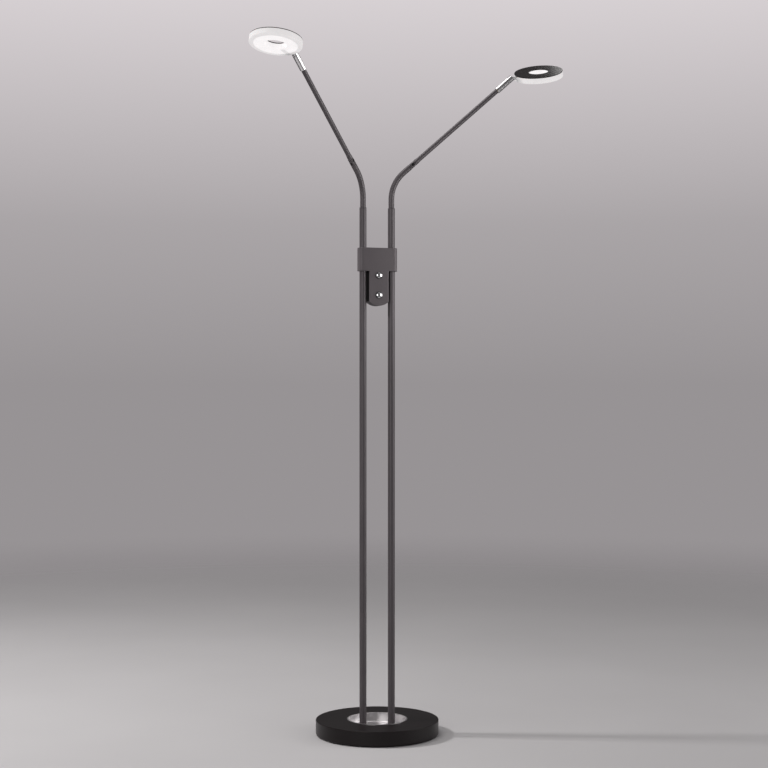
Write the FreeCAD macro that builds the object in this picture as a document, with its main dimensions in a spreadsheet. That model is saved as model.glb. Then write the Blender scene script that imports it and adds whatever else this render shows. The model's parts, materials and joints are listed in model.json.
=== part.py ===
import FreeCAD, Part
import Sketcher
import math
import os
import re

# Floor lamp with two swivelling arms, each with a ring-shaped light head.
# Row frame: origin on the floor under the middle of the base, the two poles
# side by side along X, the buttons facing -Y, +Z up. Sizes in millimetres.

os.makedirs("parts", exist_ok=True)
doc = FreeCAD.newDocument("floor_lamp")
V = FreeCAD.Vector
PL = FreeCAD.Placement
ROT = FreeCAD.Rotation

SIZES = [
    # base
    ("base_radius", 140.0), ("base_height", 35.0), ("cover_wall", 1.5), ("cover_floor_gap", 1.0),
    ("cover_lip_in", 4.5), ("cover_bottom_round", 5.0), ("cover_top_round", 1.2), ("well_radius", 67.5), ("well_lip_depth", 5.0),
    ("pad_out_radius", 131.0), ("pad_thick", 3.0),
    ("plate_radius", 134.5), ("plate_thick", 5.0), ("plate_top", 8.0), ("weight_in_radius", 70.0),
    ("weight_out_radius", 137.5), ("weight_top", 33.0), ("bay_width", 92.0), ("bay_near", 86.0), ("bay_far", 122.0), ("bay_top", 29.0),
    ("channel_half", 14.0), ("channel_top", 14.5), ("base_screw_circle", 95.0), ("base_screw_radius", 2.5),
    ("liner_radius", 67.2), ("liner_wall", 1.0), ("liner_floor", 15.0), ("liner_rim_top", 35.7), ("liner_rim_radius", 68.8),
    # poles
    ("pole_half_gap", 34.0), ("pole_radius", 8.0), ("pole_bore", 7.0), ("pole_top", 1200.0),
    ("plug_height", 28.0), ("plug_hole", 4.0), ("pole_screw_radius", 3.95), ("pole_screw_head", 7.6),
    # switch block between the poles
    ("block_half_width", 45.0), ("block_bottom", 1056.0), ("block_top", 1109.0), ("block_half_depth", 14.5),
    ("tongue_half_width", 23.5), ("tongue_corner_z", 987.0), ("tongue_bottom", 977.0), ("block_round", 8.0), ("tongue_round", 2.5),
    ("cavity_half_width", 20.5), ("cavity_bottom", 989.0), ("cavity_top", 1103.0), ("cavity_depth", 12.0), ("channel_radius", 8.05),
    ("button_high", 1046.0), ("button_low", 1001.0), ("button_radius", 6.4), ("button_hole", 6.7), ("button_proud", 5.0), ("button_dome", 11.0),
    ("bezel_radius", 7.9), ("bezel_thick", 0.8),
    # arms
    ("bush_length", 24.0), ("bush_radius", 6.96), ("bush_bore", 6.55), ("bush_flange", 0.8), ("bush_flange_radius", 7.9),
    ("bend_radius", 82.0), ("bend_angle", 48.5), ("bend_tube_radius", 6.5), ("bend_tube_bore", 5.5),
    ("bend_start", 21.0), ("bend_depth", 46.0), ("bend_run", 13.0), ("knuckle_run", 29.0),
    ("knuckle_radius", 6.5), ("cheek_out", 5.6), ("slot_half", 2.6), ("eye_half", 2.3), ("eye_radius", 6.2), ("collar_radius", 6.0),
    ("knuckle_pin", 2.0), ("knuckle_bore", 2.08), ("fork_hole", 2.02), ("sink_radius", 3.3), ("sink_depth", 1.4),
    ("arm_radius", 5.4), ("arm_bore", 4.4), ("arm_start", 17.0), ("sleeve_start", 260.2), ("sleeve_end", 307.0), ("sleeve_radius", 7.0),
    ("sleeve_bore", 4.98), ("spigot_radius", 4.9), ("head_pin_back", 5.0), ("head_pin_radius", 1.5), ("head_pin_bore", 1.55),
    ("head_slot_half", 2.2), ("tang_half", 2.0), ("tang_radius", 4.4),
    # light heads
    ("head_reach", 73.0), ("head_rise", 4.0), ("disc_radius", 56.0), ("disc_thick", 2.0), ("disc_hole", 22.5),
    ("ring_radius", 56.5), ("ring_depth", 13.0), ("ring_wall_in", 46.5), ("ring_floor", 3.0), ("ring_hole", 23.0), ("ring_hub", 26.0),
    ("board_in", 27.5), ("board_out", 45.5), ("board_thick", 1.2), ("lead_radius", 1.5),
]
SZ = dict(SIZES)
sheet = doc.addObject("Spreadsheet::Sheet", "Params")
for i, (name, value) in enumerate(SIZES):
    sheet.set("A%d" % (i + 1), name)
    sheet.set("B%d" % (i + 1), str(value))
    sheet.setAlias("B%d" % (i + 1), name)
doc.recompute()

# Pose of the arms and heads, in degrees.
SIDES = {
    "left": {"x": -1, "azimuth": 221.0, "roll": 1.8, "tilt": 29.0},
    "right": {"x": 1, "azimuth": -13.0, "roll": 28.2, "tilt": 29.9},
}

WORD = re.compile(r"[A-Za-z_][A-Za-z_0-9]*")


def val(e):
    """Number of a size expression, worked out from the sheet's values."""
    if not isinstance(e, str):
        return float(e)
    total, tokens = 0.0, re.findall(r"[A-Za-z_]\w*|\d+\.?\d*|[+\-*/()]", e)
    pos = [0]

    def atom():
        t = tokens[pos[0]]
        pos[0] += 1
        if t == "(":
            r = expr()
            pos[0] += 1
            return r
        if t == "-":
            return -atom()
        if WORD.match(t):
            return SZ[t]
        return float(t)

    def term():
        r = atom()
        while pos[0] < len(tokens) and tokens[pos[0]] in "*/":
            op = tokens[pos[0]]
            pos[0] += 1
            b = atom()
            r = r * b if op == "*" else r / b
        return r

    def expr():
        r = term()
        while pos[0] < len(tokens) and tokens[pos[0]] in "+-":
            op = tokens[pos[0]]
            pos[0] += 1
            b = term()
            r = r + b if op == "+" else r - b
        return r

    total = expr()
    return total


def bound(e):
    """The same expression with each size read from the sheet."""
    return WORD.sub(lambda m: "Params." + m.group(0), e)


def bind(obj, prop, e):
    if isinstance(e, str):
        obj.setExpression(prop, bound(e))
    else:
        obj.setExpression(prop, repr(float(e)))


FINAL = []


def keep(obj, label, place=None):
    """Names a finished sub-part and puts it in its place."""
    obj.Label = label
    if place is not None:
        obj.Placement = place
    FINAL.append((obj, label))
    return obj


# ---------- sketched bodies ----------
def make_body(name):
    return doc.addObject("PartDesign::Body", "B_" + name)


def make_sketch(body, name, plane, offset=0.0):
    sk = body.newObject("Sketcher::SketchObject", name)
    base = [f for f in body.Origin.OriginFeatures if f.Role == plane][0]
    sk.AttachmentSupport = [(base, "")]
    sk.MapMode = "FlatFace"
    if isinstance(offset, str):
        sk.AttachmentOffset = PL(V(0, 0, val(offset)), ROT())
        sk.setExpression("AttachmentOffset.Base.z", bound(offset))
    else:
        sk.AttachmentOffset = PL(V(0, 0, offset), ROT())
    return sk


def pin_point(sk, geo, pos, xe, ye):
    for kind, e, axis in (("DistanceX", xe, -2), ("DistanceY", ye, -1)):
        v = val(e)
        if abs(v) < 1e-9:
            sk.addConstraint(Sketcher.Constraint("PointOnObject", geo, pos, axis))
        elif v > 0:
            c = sk.addConstraint(Sketcher.Constraint(kind, -1, 1, geo, pos, v))
            if isinstance(e, str):
                sk.setExpression("Constraints[%d]" % c, bound(e))
        else:
            c = sk.addConstraint(Sketcher.Constraint(kind, geo, pos, -1, 1, -v))
            if isinstance(e, str):
                sk.setExpression("Constraints[%d]" % c, "-(" + bound(e) + ")")


def polygon(sk, pts):
    n = len(pts)
    xy = [(val(a), val(b)) for a, b in pts]
    first = sk.GeometryCount
    for i in range(n):
        a, b = xy[i], xy[(i + 1) % n]
        sk.addGeometry(Part.LineSegment(V(a[0], a[1], 0), V(b[0], b[1], 0)), False)
    for i in range(n):
        sk.addConstraint(Sketcher.Constraint("Coincident", first + i, 2, first + (i + 1) % n, 1))
    for i in range(n):
        pin_point(sk, first + i, 1, pts[i][0], pts[i][1])


def circle(sk, xe, ye, re_):
    g = sk.addGeometry(Part.Circle(V(val(xe), val(ye), 0), V(0, 0, 1), val(re_)), False)
    c = sk.addConstraint(Sketcher.Constraint("Radius", g, val(re_)))
    if isinstance(re_, str):
        sk.setExpression("Constraints[%d]" % c, bound(re_))
    pin_point(sk, g, 3, xe, ye)


def revolve(body, sk, name):
    f = body.newObject("PartDesign::Revolution", name)
    f.Profile = (sk, [""])
    f.ReferenceAxis = (sk, ["V_Axis"])
    f.Angle = 360.0
    doc.recompute()
    return f


def pad(body, sk, name, length, sym=False, rev=False):
    f = body.newObject("PartDesign::Pad", name)
    f.Profile = (sk, [""])
    f.Length = val(length)
    bind(f, "Length", length)
    if sym:
        f.SideType = "Symmetric"
    f.Reversed = rev
    doc.recompute()
    return f


def pocket(body, sk, name, length=None, sym=False, rev=False):
    before = body.Shape.Volume
    f = body.newObject("PartDesign::Pocket", name)
    f.Profile = (sk, [""])
    if length is None:
        f.Type = "ThroughAll"
    else:
        f.Length = val(length)
        bind(f, "Length", length)
    if sym:
        f.SideType = "Symmetric"
    f.Reversed = rev
    doc.recompute()
    if before - body.Shape.Volume < 1e-3:
        f.Reversed = not rev
        doc.recompute()
    if before - body.Shape.Volume < 1e-3:
        raise RuntimeError("pocket cuts nothing: " + name)
    return f


def round_edges(body, name, radius, test):
    tip = body.Tip
    names = ["Edge%d" % (i + 1) for i, e in enumerate(tip.Shape.Edges) if test(e)]
    if not names:
        raise RuntimeError("no edge to round: " + name)
    f = body.newObject("PartDesign::Fillet", name)
    f.Base = (tip, names)
    f.Radius = val(radius)
    bind(f, "Radius", radius)
    doc.recompute()
    return f


def ring_edge(r, z, tol=0.02):
    def test(e):
        c = e.Curve
        return c.TypeId == "Part::GeomCircle" and abs(c.Radius - r) < tol and abs(e.BoundBox.ZMin - z) < tol and abs(e.BoundBox.ZMax - z) < tol
    return test


def turned(name, pts, place=None, label=None, rounds=()):
    """A turned piece: a closed profile of (radius, height) points about Z."""
    body = make_body(name)
    sk = make_sketch(body, name + "_profile", "XZ_Plane")
    polygon(sk, pts)
    revolve(body, sk, name + "_turn")
    for i, (r, z, rad) in enumerate(rounds):
        round_edges(body, "%s_round%d" % (name, i), rad, ring_edge(val(r), val(z)))
    if label:
        keep(body, label, place)
    return body


# ---------- plain solids ----------
def put(obj, pos, rot=None):
    obj.Placement = PL(V(*[val(p) for p in pos]), rot or ROT())
    for k, p in zip("xyz", pos):
        if isinstance(p, str):
            obj.setExpression("Placement.Base." + k, bound(p))
    return obj


ALONG_Y = ROT(V(1, 0, 0), -90)
ALONG_X = ROT(V(0, 1, 0), 90)


def cyl(name, r, h, pos, rot=None):
    o = doc.addObject("Part::Cylinder", name)
    o.Radius, o.Height = val(r), val(h)
    bind(o, "Radius", r)
    bind(o, "Height", h)
    return put(o, pos, rot)


def cone(name, r1, r2, h, pos, rot=None):
    o = doc.addObject("Part::Cone", name)
    o.Radius1, o.Radius2, o.Height = val(r1), val(r2), val(h)
    bind(o, "Radius1", r1)
    bind(o, "Radius2", r2)
    bind(o, "Height", h)
    return put(o, pos, rot)


def box(name, lx, ly, lz, pos, rot=None):
    o = doc.addObject("Part::Box", name)
    o.Length, o.Width, o.Height = val(lx), val(ly), val(lz)
    bind(o, "Length", lx)
    bind(o, "Width", ly)
    bind(o, "Height", lz)
    return put(o, pos, rot)


def fuse(name, items):
    o = doc.addObject("Part::MultiFuse", name)
    o.Shapes = items
    o.Refine = True
    return o


def cut(name, a, b):
    o = doc.addObject("Part::Cut", name)
    o.Base, o.Tool = a, b
    return o


def group(name, items):
    o = doc.addObject("Part::Compound", name)
    o.Links = items
    return o


# =====================================================================
# BASE
# =====================================================================
# Spun cover: skirt, top and a short lip down into the central well.
turned("base_cover", [
    ("base_radius-cover_lip_in", "cover_floor_gap"), ("base_radius", "cover_floor_gap"), ("base_radius", "base_height"),
    ("well_radius", "base_height"), ("well_radius", "base_height-well_lip_depth"),
    ("well_radius+cover_wall", "base_height-well_lip_depth"), ("well_radius+cover_wall", "base_height-cover_wall"),
    ("base_radius-cover_wall", "base_height-cover_wall"), ("base_radius-cover_wall", "cover_floor_gap+cover_wall"),
    ("base_radius-cover_lip_in", "cover_floor_gap+cover_wall")], rounds=(
        ("base_radius-cover_wall", "cover_floor_gap+cover_wall", "cover_lip_in-cover_wall-0.5"),
        ("base_radius", "cover_floor_gap", "cover_lip_in-0.5"),
        ("base_radius", "base_height", "cover_top_round"),
        ("well_radius", "base_height", 0.8)))
cover = doc.getObject("B_base_cover")
sk = make_sketch(cover, "cord_exit", "XZ_Plane", "-(base_radius-8)")
circle(sk, 0.0, 19.0, 5.2)
pocket(cover, sk, "cord_exit_hole", 12.0)
keep(cover, "base_cover")

# Cast ballast ring under the cover, with a bay for the driver at the back.
weight = turned("base_weight", [
    ("weight_in_radius", "plate_top"), ("weight_out_radius", "plate_top"), ("weight_out_radius", "weight_top-2"),
    ("weight_out_radius-2", "weight_top"), ("weight_in_radius+1", "weight_top"), ("weight_in_radius", "weight_top-1")])
sk = make_sketch(weight, "driver_bay", "XY_Plane", "plate_top")
polygon(sk, [("-(bay_width/2)", "bay_near"), ("bay_width/2", "bay_near"), ("bay_width/2", "bay_far"), ("-(bay_width/2)", "bay_far")])
pocket(weight, sk, "driver_bay_cut", "bay_top-plate_top")
sk = make_sketch(weight, "lead_channel", "XY_Plane", "plate_top")
polygon(sk, [("-channel_half", 60.0), ("channel_half", 60.0), ("channel_half", 90.0), ("-channel_half", 90.0)])
pocket(weight, sk, "lead_channel_cut", "channel_top-plate_top")
sk = make_sketch(weight, "screw_taps", "XY_Plane", "plate_top")
for a in (45, 135, 225, 315):
    circle(sk, "base_screw_circle*%.6f" % math.cos(math.radians(a)), "base_screw_circle*%.6f" % math.sin(math.radians(a)), "base_screw_radius+0.02")
pocket(weight, sk, "screw_tap_cut", 14.0)
sk = make_sketch(weight, "gland_bore", "XZ_Plane", "-(base_radius-8)")
circle(sk, 0.0, 19.0, 5.2)
before = weight.Shape.Volume
f = weight.newObject("PartDesign::Pocket", "gland_bore_cut")
f.Profile = (sk, [""])
f.Length = 40.0
f.SideType = "Symmetric"
doc.recompute()
if before - weight.Shape.Volume < 10:
    raise RuntimeError("gland bore")
keep(weight, "base_weight")

# Steel bottom plate that carries the poles and the ballast.
plate = make_body("base_plate")
sk = make_sketch(plate, "plate_outline", "XY_Plane", "plate_top-plate_thick")
circle(sk, 0.0, 0.0, "plate_radius")
pad(plate, sk, "plate_pad", "plate_thick")
sk = make_sketch(plate, "pole_holes", "XY_Plane", "plate_top-plate_thick")
circle(sk, "pole_half_gap", 0.0, 4.2)
circle(sk, "-pole_half_gap", 0.0, 4.2)
pocket(plate, sk, "pole_hole_cut")
sk = make_sketch(plate, "screw_hole", "XY_Plane", "plate_top-plate_thick")
circle(sk, "base_screw_circle*0.70710678", "base_screw_circle*0.70710678", 2.75)
hole = pocket(plate, sk, "screw_hole_cut")
pat = plate.newObject("PartDesign::PolarPattern", "screw_hole_ring")
pat.Originals = [hole]
pat.Axis = ([f for f in plate.Origin.OriginFeatures if f.Role == "Z_Axis"][0], [""])
pat.Angle = 360.0
pat.Occurrences = 4
plate.Tip = pat
doc.recompute()


def low_ring(radii):
    z = SZ["plate_top"] - SZ["plate_thick"]

    def test(e):
        c = e.Curve
        return c.TypeId == "Part::GeomCircle" and any(abs(c.Radius - r) < 0.01 for r in radii) and abs(e.BoundBox.ZMin - z) < 0.01 and abs(e.BoundBox.ZMax - z) < 0.01
    return test


def chamfer(body, name, size, test):
    tip = body.Tip
    names = ["Edge%d" % (i + 1) for i, e in enumerate(tip.Shape.Edges) if test(e)]
    f = body.newObject("PartDesign::Chamfer", name)
    f.Base = (tip, names)
    f.Size = size
    doc.recompute()
    return f


chamfer(plate, "pole_sinks", 3.6, low_ring([4.2]))
chamfer(plate, "screw_sinks", 2.3, low_ring([2.75]))
keep(plate, "base_plate")

# Felt disc that the lamp stands on, covering the screw heads.
turned("base_felt", [(0.0, 0.0), ("pad_out_radius", 0.0), ("pad_out_radius", "pad_thick"), (0.0, "pad_thick")], label="base_felt")

# Four countersunk screws, plate to ballast ring.
items = []
for k, a in enumerate((45, 135, 225, 315)):
    cx, cy = "base_screw_circle*%.6f" % math.cos(math.radians(a)), "base_screw_circle*%.6f" % math.sin(math.radians(a))
    items.append(fuse("base_screw%d" % k, [cone("bs_head%d" % k, 4.9, "base_screw_radius", 2.4, (cx, cy, "plate_top-plate_thick+0.05")),
                                          cyl("bs_shank%d" % k, "base_screw_radius", 17.0, (cx, cy, "plate_top-plate_thick+1"))]))
keep(group("base_screws", items), "base_screws")

# Two countersunk screws that hold the poles, and the threaded plugs they pull on.
items = []
for k, s in enumerate(("-", "")):
    x = s + "pole_half_gap"
    items.append(fuse("pole_screw%d" % k, [cone("ps_head%d" % k, "pole_screw_head", "pole_screw_radius", 3.7, (x, 0.0, "plate_top-plate_thick+0.05")),
                                          cyl("ps_shank%d" % k, "pole_screw_radius", 30.0, (x, 0.0, "plate_top-plate_thick+2"))]))
keep(group("pole_screws", items), "pole_screws")
items = []
for k, s in enumerate((-1, 1)):
    x = "-pole_half_gap" if s < 0 else "pole_half_gap"
    ring = cut("plug_ring%d" % k, cyl("plug_out%d" % k, "pole_bore-0.03", "plug_height", (x, 0.0, "plate_top+6.5")),
               cyl("plug_in%d" % k, "plug_hole", "plug_height+4", (x, 0.0, "plate_top+4")))
    # flat slot on the inner side, where the lead goes up past the plug
    sx = "-pole_half_gap+4.05" if s < 0 else "pole_half_gap-8.05"
    items.append(cut("plug%d" % k, ring, box("plug_slot%d" % k, 4.0, 3.4, "plug_height+4", (sx, -1.7, "plate_top+4"))))
keep(group("pole_plugs", items), "pole_plugs")

# Polished well liner, a pressed cup with a rolled rim, pierced for the poles.
liner = turned("well_liner", [
    (0.0, "liner_floor-liner_wall"), ("liner_radius", "liner_floor-liner_wall"), ("liner_radius", "base_height+0.05"),
    ("liner_rim_radius", "base_height+0.05"), ("liner_rim_radius", "liner_rim_top"), ("liner_radius-liner_wall-0.3", "liner_rim_top"),
    ("liner_radius-liner_wall", "liner_rim_top-0.6"), ("liner_radius-liner_wall", "liner_floor"), (0.0, "liner_floor")],
    rounds=(("liner_radius-liner_wall", "liner_floor", 1.5),))
sk = make_sketch(liner, "pole_openings", "XY_Plane", "liner_floor")
circle(sk, "pole_half_gap", 0.0, "pole_radius+0.15")
circle(sk, "-pole_half_gap", 0.0, "pole_radius+0.15")
pocket(liner, sk, "pole_opening_cut", 4.0)
keep(liner, "well_liner")

# Cord gland at the back of the base: flange outside, body through the ballast ring.
turned("cord_gland", [(3.2, 0.0), (5.0, 0.0), (5.0, 17.7), (7.2, 17.7), (7.2, 20.4), (6.4, 21.2), (3.2, 21.2)],
       place=PL(V(0, 122.6, 19), ROT(V(1, 0, 0), -90)), label="cord_gland")

# Driver module in its bay.
drv = doc.addObject("Part::Fillet", "driver_case")
drv.Base = box("driver_box", 84.0, 32.0, 17.0, (-42.0, 88.0, "plate_top+1"))
drv.Edges = [(i, 1.5, 1.5) for i in range(1, 13)]
keep(drv, "led_driver")

# Leads from the driver along the channel to a hole in the side of each pole.
items = []
for k, s in enumerate((-1, 1)):
    a, b = V(s * 7.0, 87.9, 11.2), V(s * (SZ["pole_half_gap"] - 7.4), 3.9, 11.2)
    d = b - a
    items.append(cyl("base_lead%d" % k, 1.2, d.Length, (a.x, a.y, a.z), ROT(V(0, 0, 1), d)))
FIXED_LEADS = list(items)

# =====================================================================
# POLES
# =====================================================================
for side, s in (("left", -1), ("right", 1)):
    body = turned(side + "_pole", [("pole_bore", "plate_top"), ("pole_radius", "plate_top"), ("pole_radius", "pole_top-0.6"),
                                   ("pole_radius-0.6", "pole_top"), ("pole_bore", "pole_top")])
    sk = make_sketch(body, side + "_pole_lead_hole", "YZ_Plane")
    circle(sk, 0.0, 11.2, 2.6)
    pocket(body, sk, side + "_pole_lead_cut", 12.0)
    # the hole, cut on local -X, is turned to face the lead that comes from the driver
    turn = -27.8 if s > 0 else -152.2
    keep(body, side + "_pole", PL(V(s * SZ["pole_half_gap"], 0, 0), ROT(V(0, 0, 1), turn)))

# =====================================================================
# SWITCH BLOCK
# =====================================================================
def block_outline(sk):
    w, t = SZ["block_half_width"], SZ["tongue_half_width"]
    zt, zb, zc, zl = SZ["block_top"], SZ["block_bottom"], SZ["tongue_corner_z"], SZ["tongue_bottom"]
    pts = [(-w, zt), (w, zt), (w, zb), (t, zb), (t, zc)]
    back = [(-t, zc), (-t, zb), (-w, zb)]
    for i in range(4):
        sk.addGeometry(Part.LineSegment(V(pts[i][0], pts[i][1], 0), V(pts[i + 1][0], pts[i + 1][1], 0)), False)
    sag = zc - zl
    rad = (t * t + sag * sag) / (2 * sag)
    half = math.asin(t / rad)
    g = sk.addGeometry(Part.ArcOfCircle(Part.Circle(V(0, zl + rad, 0), V(0, 0, 1), rad), 1.5 * math.pi - half, 1.5 * math.pi + half), False)
    sk.addGeometry(Part.LineSegment(V(-t, zc, 0), V(-t, zb, 0)), False)
    sk.addGeometry(Part.LineSegment(V(-t, zb, 0), V(-w, zb, 0)), False)
    sk.addGeometry(Part.LineSegment(V(-w, zb, 0), V(-w, zt, 0)), False)
    names = [("-block_half_width", "block_top"), ("block_half_width", "block_top"), ("block_half_width", "block_bottom"),
             ("tongue_half_width", "block_bottom")]
    for i in range(4):
        pin_point(sk, i, 1, names[i][0], names[i][1])
    for a, b in ((0, 1), (1, 2), (2, 3), (5, 6), (6, 7), (7, 0)):
        sk.addConstraint(Sketcher.Constraint("Coincident", a, 2, b, 1))
    pin_point(sk, 5, 1, "-tongue_half_width", "tongue_corner_z")
    pin_point(sk, 6, 1, "-tongue_half_width", "block_bottom")
    pin_point(sk, 7, 1, "-block_half_width", "block_bottom")
    pin_point(sk, 3, 2, "tongue_half_width", "tongue_corner_z")
    # the arc's ends sit on the tongue's corners; its centre is on the middle line
    sk.addConstraint(Sketcher.Constraint("Coincident", g, 2, 3, 2))
    sk.addConstraint(Sketcher.Constraint("Coincident", g, 1, 5, 1))
    sag = "(tongue_corner_z-tongue_bottom)"
    radius = "((tongue_half_width*tongue_half_width+" + sag + "*" + sag + ")/(2*" + sag + "))"
    c = sk.addConstraint(Sketcher.Constraint("Radius", g, val(radius)))
    sk.setExpression("Constraints[%d]" % c, bound(radius))


def side_edge(x, y, tol=0.02):
    def test(e):
        b = e.BoundBox
        return b.ZLength > 20 and b.XLength < tol and b.YLength < tol and abs(abs(b.XMin) - x) < tol and abs(b.YMin - y) < tol
    return test


for which, sgn in (("front", -1), ("rear", 1)):
    body = make_body("block_" + which)
    sk = make_sketch(body, which + "_outline", "XZ_Plane")
    block_outline(sk)
    pad(body, sk, which + "_pad", "block_half_depth", rev=(sgn > 0))
    if body.Shape.BoundBox.Center.y * sgn < 0:
        raise RuntimeError("block shell on the wrong side")
    d = SZ["block_half_depth"]
    round_edges(body, which + "_corners", "block_round", side_edge(SZ["block_half_width"], sgn * d))
    round_edges(body, which + "_tongue_corners", "tongue_round", side_edge(SZ["tongue_half_width"], sgn * d))
    try:
        def face_edge(e, y=sgn * d):
            b = e.BoundBox
            return abs(b.YMin - y) < 0.01 and abs(b.YMax - y) < 0.01 and not (b.XLength < 0.02)
        tip = body.Tip
        round_edges(body, which + "_edge_round", 0.8, face_edge)
        if body.Tip.Shape.isNull() or not body.Tip.Shape.isValid() or "Invalid" in body.Tip.State:
            raise RuntimeError("edge rounding")
    except Exception:
        bad = body.Tip
        if bad is not tip:
            body.removeObject(bad)
            doc.removeObject(bad.Name)
            body.Tip = tip
            doc.recompute()
        print("note: small edge rounding left out on", which)
    sk = make_sketch(body, which + "_cavity", "XZ_Plane")
    polygon(sk, [("-cavity_half_width", "cavity_bottom"), ("cavity_half_width", "cavity_bottom"), ("cavity_half_width", "cavity_top"), ("-cavity_half_width", "cavity_top")])
    pocket(body, sk, which + "_cavity_cut", "cavity_depth")
    sk = make_sketch(body, which + "_channels", "XY_Plane", "block_bottom")
    circle(sk, "pole_half_gap", 0.0, "channel_radius")
    circle(sk, "-pole_half_gap", 0.0, "channel_radius")
    pocket(body, sk, which + "_channel_cut", "block_top-block_bottom")
    if sgn < 0:
        sk = make_sketch(body, "button_holes", "XZ_Plane")
        circle(sk, 0.0, "button_high", "button_hole")
        circle(sk, 0.0, "button_low", "button_hole")
        pocket(body, sk, "button_hole_cut", 20.0)
        sk = make_sketch(body, "screw_pilots", "XZ_Plane")
        for xs in ("-", ""):
            for z in (1064.0, 1101.0):
                circle(sk, xs + "23.3", z, 1.5)
        pocket(body, sk, "screw_pilot_cut", 9.0)
    else:
        sk = make_sketch(body, "screw_holes", "XZ_Plane")
        for xs in ("-", ""):
            for z in (1064.0, 1101.0):
                circle(sk, xs + "23.3", z, 1.6)
        pocket(body, sk, "screw_hole_cut2", 20.0)
        sk = make_sketch(body, "screw_seats", "XZ_Plane", "-(block_half_depth)")
        for xs in ("-", ""):
            for z in (1064.0, 1101.0):
                circle(sk, xs + "23.3", z, 3.0)
        pocket(body, sk, "screw_seat_cut", 2.2)
    keep(body, "switch_block_" + which)

items = []
k = 0
for x in (-23.3, 23.3):
    for z in (1064.0, 1101.0):
        items.append(fuse("block_screw%d" % k, [cyl("bk_head%d" % k, 2.8, 2.0, (x, "block_half_depth-2.15", z), ALONG_Y),
                                               cyl("bk_shank%d" % k, 1.45, 21.0, (x, -8.0, z), ALONG_Y)]))
        k += 1
keep(group("block_screws", items), "block_screws")

keep(box("dimmer_board", 36.0, 1.6, 108.0, (-18.0, -3.0, 992.0)), "dimmer_board")
items = []
for k, z in enumerate(("button_high", "button_low")):
    body = box("switch_body%d" % k, 11.0, 3.6, 11.0, (-5.5, -6.6, z + "-5.5"))
    items.append(body)
keep(group("tact_switches", items), "tact_switches")
# Sprung push buttons: domed cap, retaining flange behind the front wall, stem over the switch.
for nm, z in (("upper", "button_high"), ("lower", "button_low")):
    # local Z runs to the back; the cap is a cylinder cut by a sphere
    cap = doc.addObject("Part::Common", nm + "_cap")
    ball = doc.addObject("Part::Sphere", nm + "_cap_ball")
    ball.Radius = SZ["button_dome"]
    bind(ball, "Radius", "button_dome")
    put(ball, (0.0, 0.0, "-(block_half_depth)-button_proud+button_dome"))
    cap.Base, cap.Tool = cyl(nm + "_cap_barrel", "button_radius", "button_proud+3.0", (0.0, 0.0, "-(block_half_depth)-button_proud-0.2")), ball
    button = fuse(nm + "_button_blank", [
        cap, cyl(nm + "_flange", "button_hole+1", 0.9, (0.0, 0.0, "-(block_half_depth)+2.7")),
        cyl(nm + "_stem", 2.0, 3.0, (0.0, 0.0, "-(block_half_depth)+3.3"))])
    keep(button, "button_" + nm, PL(V(0, 0, val(z)), ALONG_Y))
items = []
for k, z in enumerate(("button_high", "button_low")):
    items.append(cut("bezel%d" % k, cyl("bezel_out%d" % k, "bezel_radius", "bezel_thick", (0.0, "-(block_half_depth)-bezel_thick", z), ALONG_Y),
                     cyl("bezel_in%d" % k, "button_radius+0.12", "bezel_thick+2", (0.0, "-(block_half_depth)-bezel_thick-1", z), ALONG_Y)))
keep(group("button_bezels", items), "button_bezels")

# =====================================================================
# ARMS
# =====================================================================
BA = math.radians(SZ["bend_angle"])
KX = SZ["bend_radius"] * (1 - math.cos(BA)) + SZ["knuckle_run"] * math.sin(BA)
KZ = SZ["bend_start"] + SZ["bend_radius"] * math.sin(BA) + SZ["knuckle_run"] * math.cos(BA)


def bend_path(body, name, low, run):
    """Middle line of the bent tube in the arm's own upright plane."""
    sk = make_sketch(body, name, "XZ_Plane")
    r, z0 = SZ["bend_radius"], SZ["bend_start"]
    ex, ez = r * (1 - math.cos(BA)), z0 + r * math.sin(BA)
    sk.addGeometry(Part.LineSegment(V(0, val(low), 0), V(0, z0, 0)), False)
    sk.addGeometry(Part.ArcOfCircle(Part.Circle(V(r, z0, 0), V(0, 0, 1), r), math.pi - BA, math.pi), False)
    sk.addGeometry(Part.LineSegment(V(ex, ez, 0), V(ex + val(run) * math.sin(BA), ez + val(run) * math.cos(BA), 0)), False)
    s_pos, e_pos = 2, 1
    pin_point(sk, 0, 1, 0.0, low)
    pin_point(sk, 0, 2, 0.0, "bend_start")
    sk.addConstraint(Sketcher.Constraint("Coincident", 0, 2, 1, s_pos))
    pin_point(sk, 1, 3, "bend_radius", "bend_start")
    sk.addConstraint(Sketcher.Constraint("Coincident", 1, e_pos, 2, 1))
    turn = "Params.bend_angle*1deg"
    run_e = bound(run) if isinstance(run, str) else repr(run)
    ex_e = "Params.bend_radius*(1-cos(" + turn + "))"
    ez_e = "Params.bend_start+Params.bend_radius*sin(" + turn + ")"
    for kind, pos, v, e in (("DistanceX", 1, ex, ex_e), ("DistanceX", 2, ex + val(run) * math.sin(BA), ex_e + "+(" + run_e + ")*sin(" + turn + ")"),
                            ("DistanceY", 2, ez + val(run) * math.cos(BA), ez_e + "+(" + run_e + ")*cos(" + turn + ")")):
        c = sk.addConstraint(Sketcher.Constraint(kind, -1, 1, 2, pos, v))
        sk.setExpression("Constraints[%d]" % c, e)
    doc.recompute()
    return sk


def pipe(body, kind, name, profile, path):
    f = body.newObject("PartDesign::" + kind, name)
    f.Profile = (profile, [""])
    f.Spine = (path, ["Edge1", "Edge2", "Edge3"])
    doc.recompute()
    return f


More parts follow.
